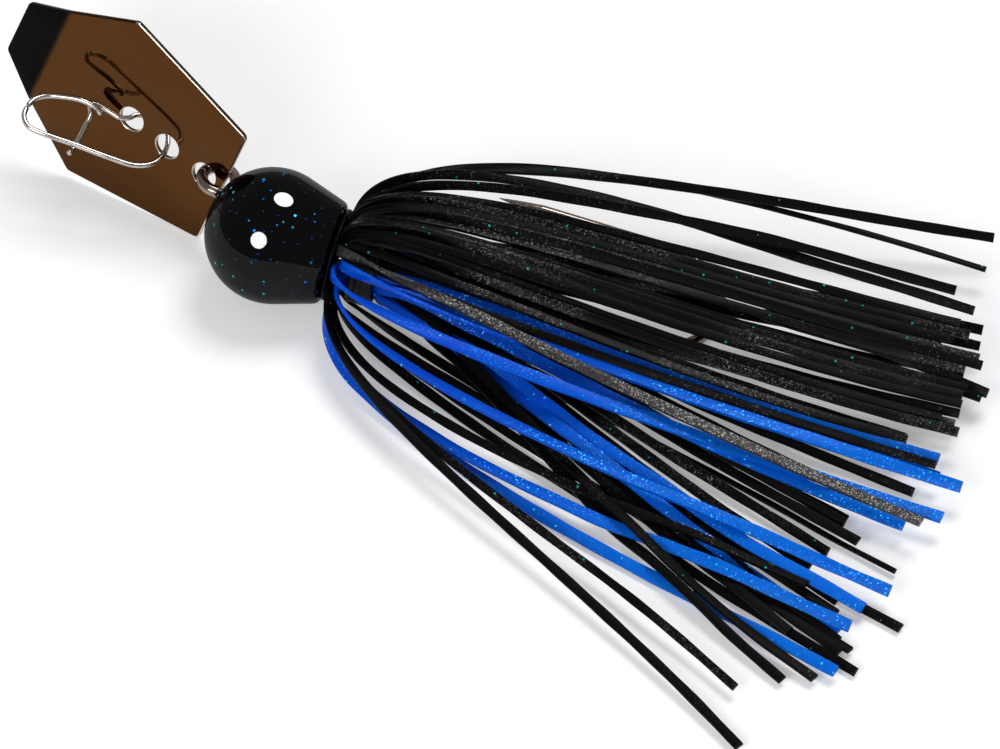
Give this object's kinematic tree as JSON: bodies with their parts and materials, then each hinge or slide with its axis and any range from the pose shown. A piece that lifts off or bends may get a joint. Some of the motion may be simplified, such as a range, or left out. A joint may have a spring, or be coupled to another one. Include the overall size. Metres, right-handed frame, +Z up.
{
  "type": "bladed fishing jig",
  "caption": "Bladed fishing jig: hexagonal metal blade on the hook's eye, wire snap, round painted head, hook and a skirt of soft strands.",
  "frame": {"origin": "bottom centre of the whole lure as it lies on its side, on the surface it rests on", "axes": "+X from the blade to the skirt's tips, +Y towards the hook's point arm, +Z up from the surface"},
  "size_m": [0.0994, 0.0886, 0.022],
  "materials": {
    "blade_metal": "mirror-bright dark bronze plating, black at the bent tip",
    "snap_steel": "bright drawn wire",
    "hook_steel": "dark bronze plated wire",
    "head_paint": "gloss black with blue and teal flake",
    "collar_rubber": "satin",
    "strand_black": "satin silicone with fine teal flake",
    "strand_blue": "satin silicone with fine cyan flake",
    "strand_grey": "smoky silicone with dense silver glitter"
  },
  "bodies": {
    "lure_body": {"head_casting": "head_paint", "hook": "hook_steel", "skirt_collar": "collar_rubber", "skirt_strand_01": "strand_black", "skirt_strand_02": "strand_black", "skirt_strand_03": "strand_black", "skirt_strand_04": "strand_black", "skirt_strand_05": "strand_black", "skirt_strand_06": "strand_black", "skirt_strand_07": "strand_black", "skirt_strand_08": "strand_black", "skirt_strand_09": "strand_grey", "skirt_strand_10": "strand_blue", "skirt_strand_11": "strand_blue", "skirt_strand_12": "strand_blue", "skirt_strand_13": "strand_black", "skirt_strand_14": "strand_blue", "skirt_strand_15": "strand_blue", "skirt_strand_16": "strand_black", "skirt_strand_17": "strand_black", "skirt_strand_18": "strand_black", "skirt_strand_19": "strand_black", "skirt_strand_20": "strand_black", "skirt_strand_21": "strand_black", "skirt_strand_22": "strand_black", "skirt_strand_23": "strand_black", "skirt_strand_24": "strand_black"},
    "blade": {"blade": "blade_metal"},
    "snap": {"snap_wire": "snap_steel"},
    "line_arm": {"snap_line_arm": "snap_steel"}
  },
  "joints": [
    {"name": "blade_swing", "type": "hinge", "parent": "lure_body", "child": "blade", "pos_m": [-0.02829, 0.02852, 0.00796], "axis": [0.1345, -0.0378, 0.9902], "range_deg": [-60, 45]},
    {"name": "snap_swing", "type": "hinge", "parent": "blade", "child": "snap", "pos_m": [-0.03516, 0.03353, 0.00976], "axis": [0.7749, -0.5672, -0.279], "range_deg": [-40, 25]},
    {"name": "line_arm_open", "type": "hinge", "parent": "snap", "child": "line_arm", "pos_m": [-0.04761, 0.03477, 0.0121], "axis": [-0.6131, -0.7818, -0.1137], "range_deg": [0, 25], "stiffness_Nm_per_rad": 0.002}
  ]
}
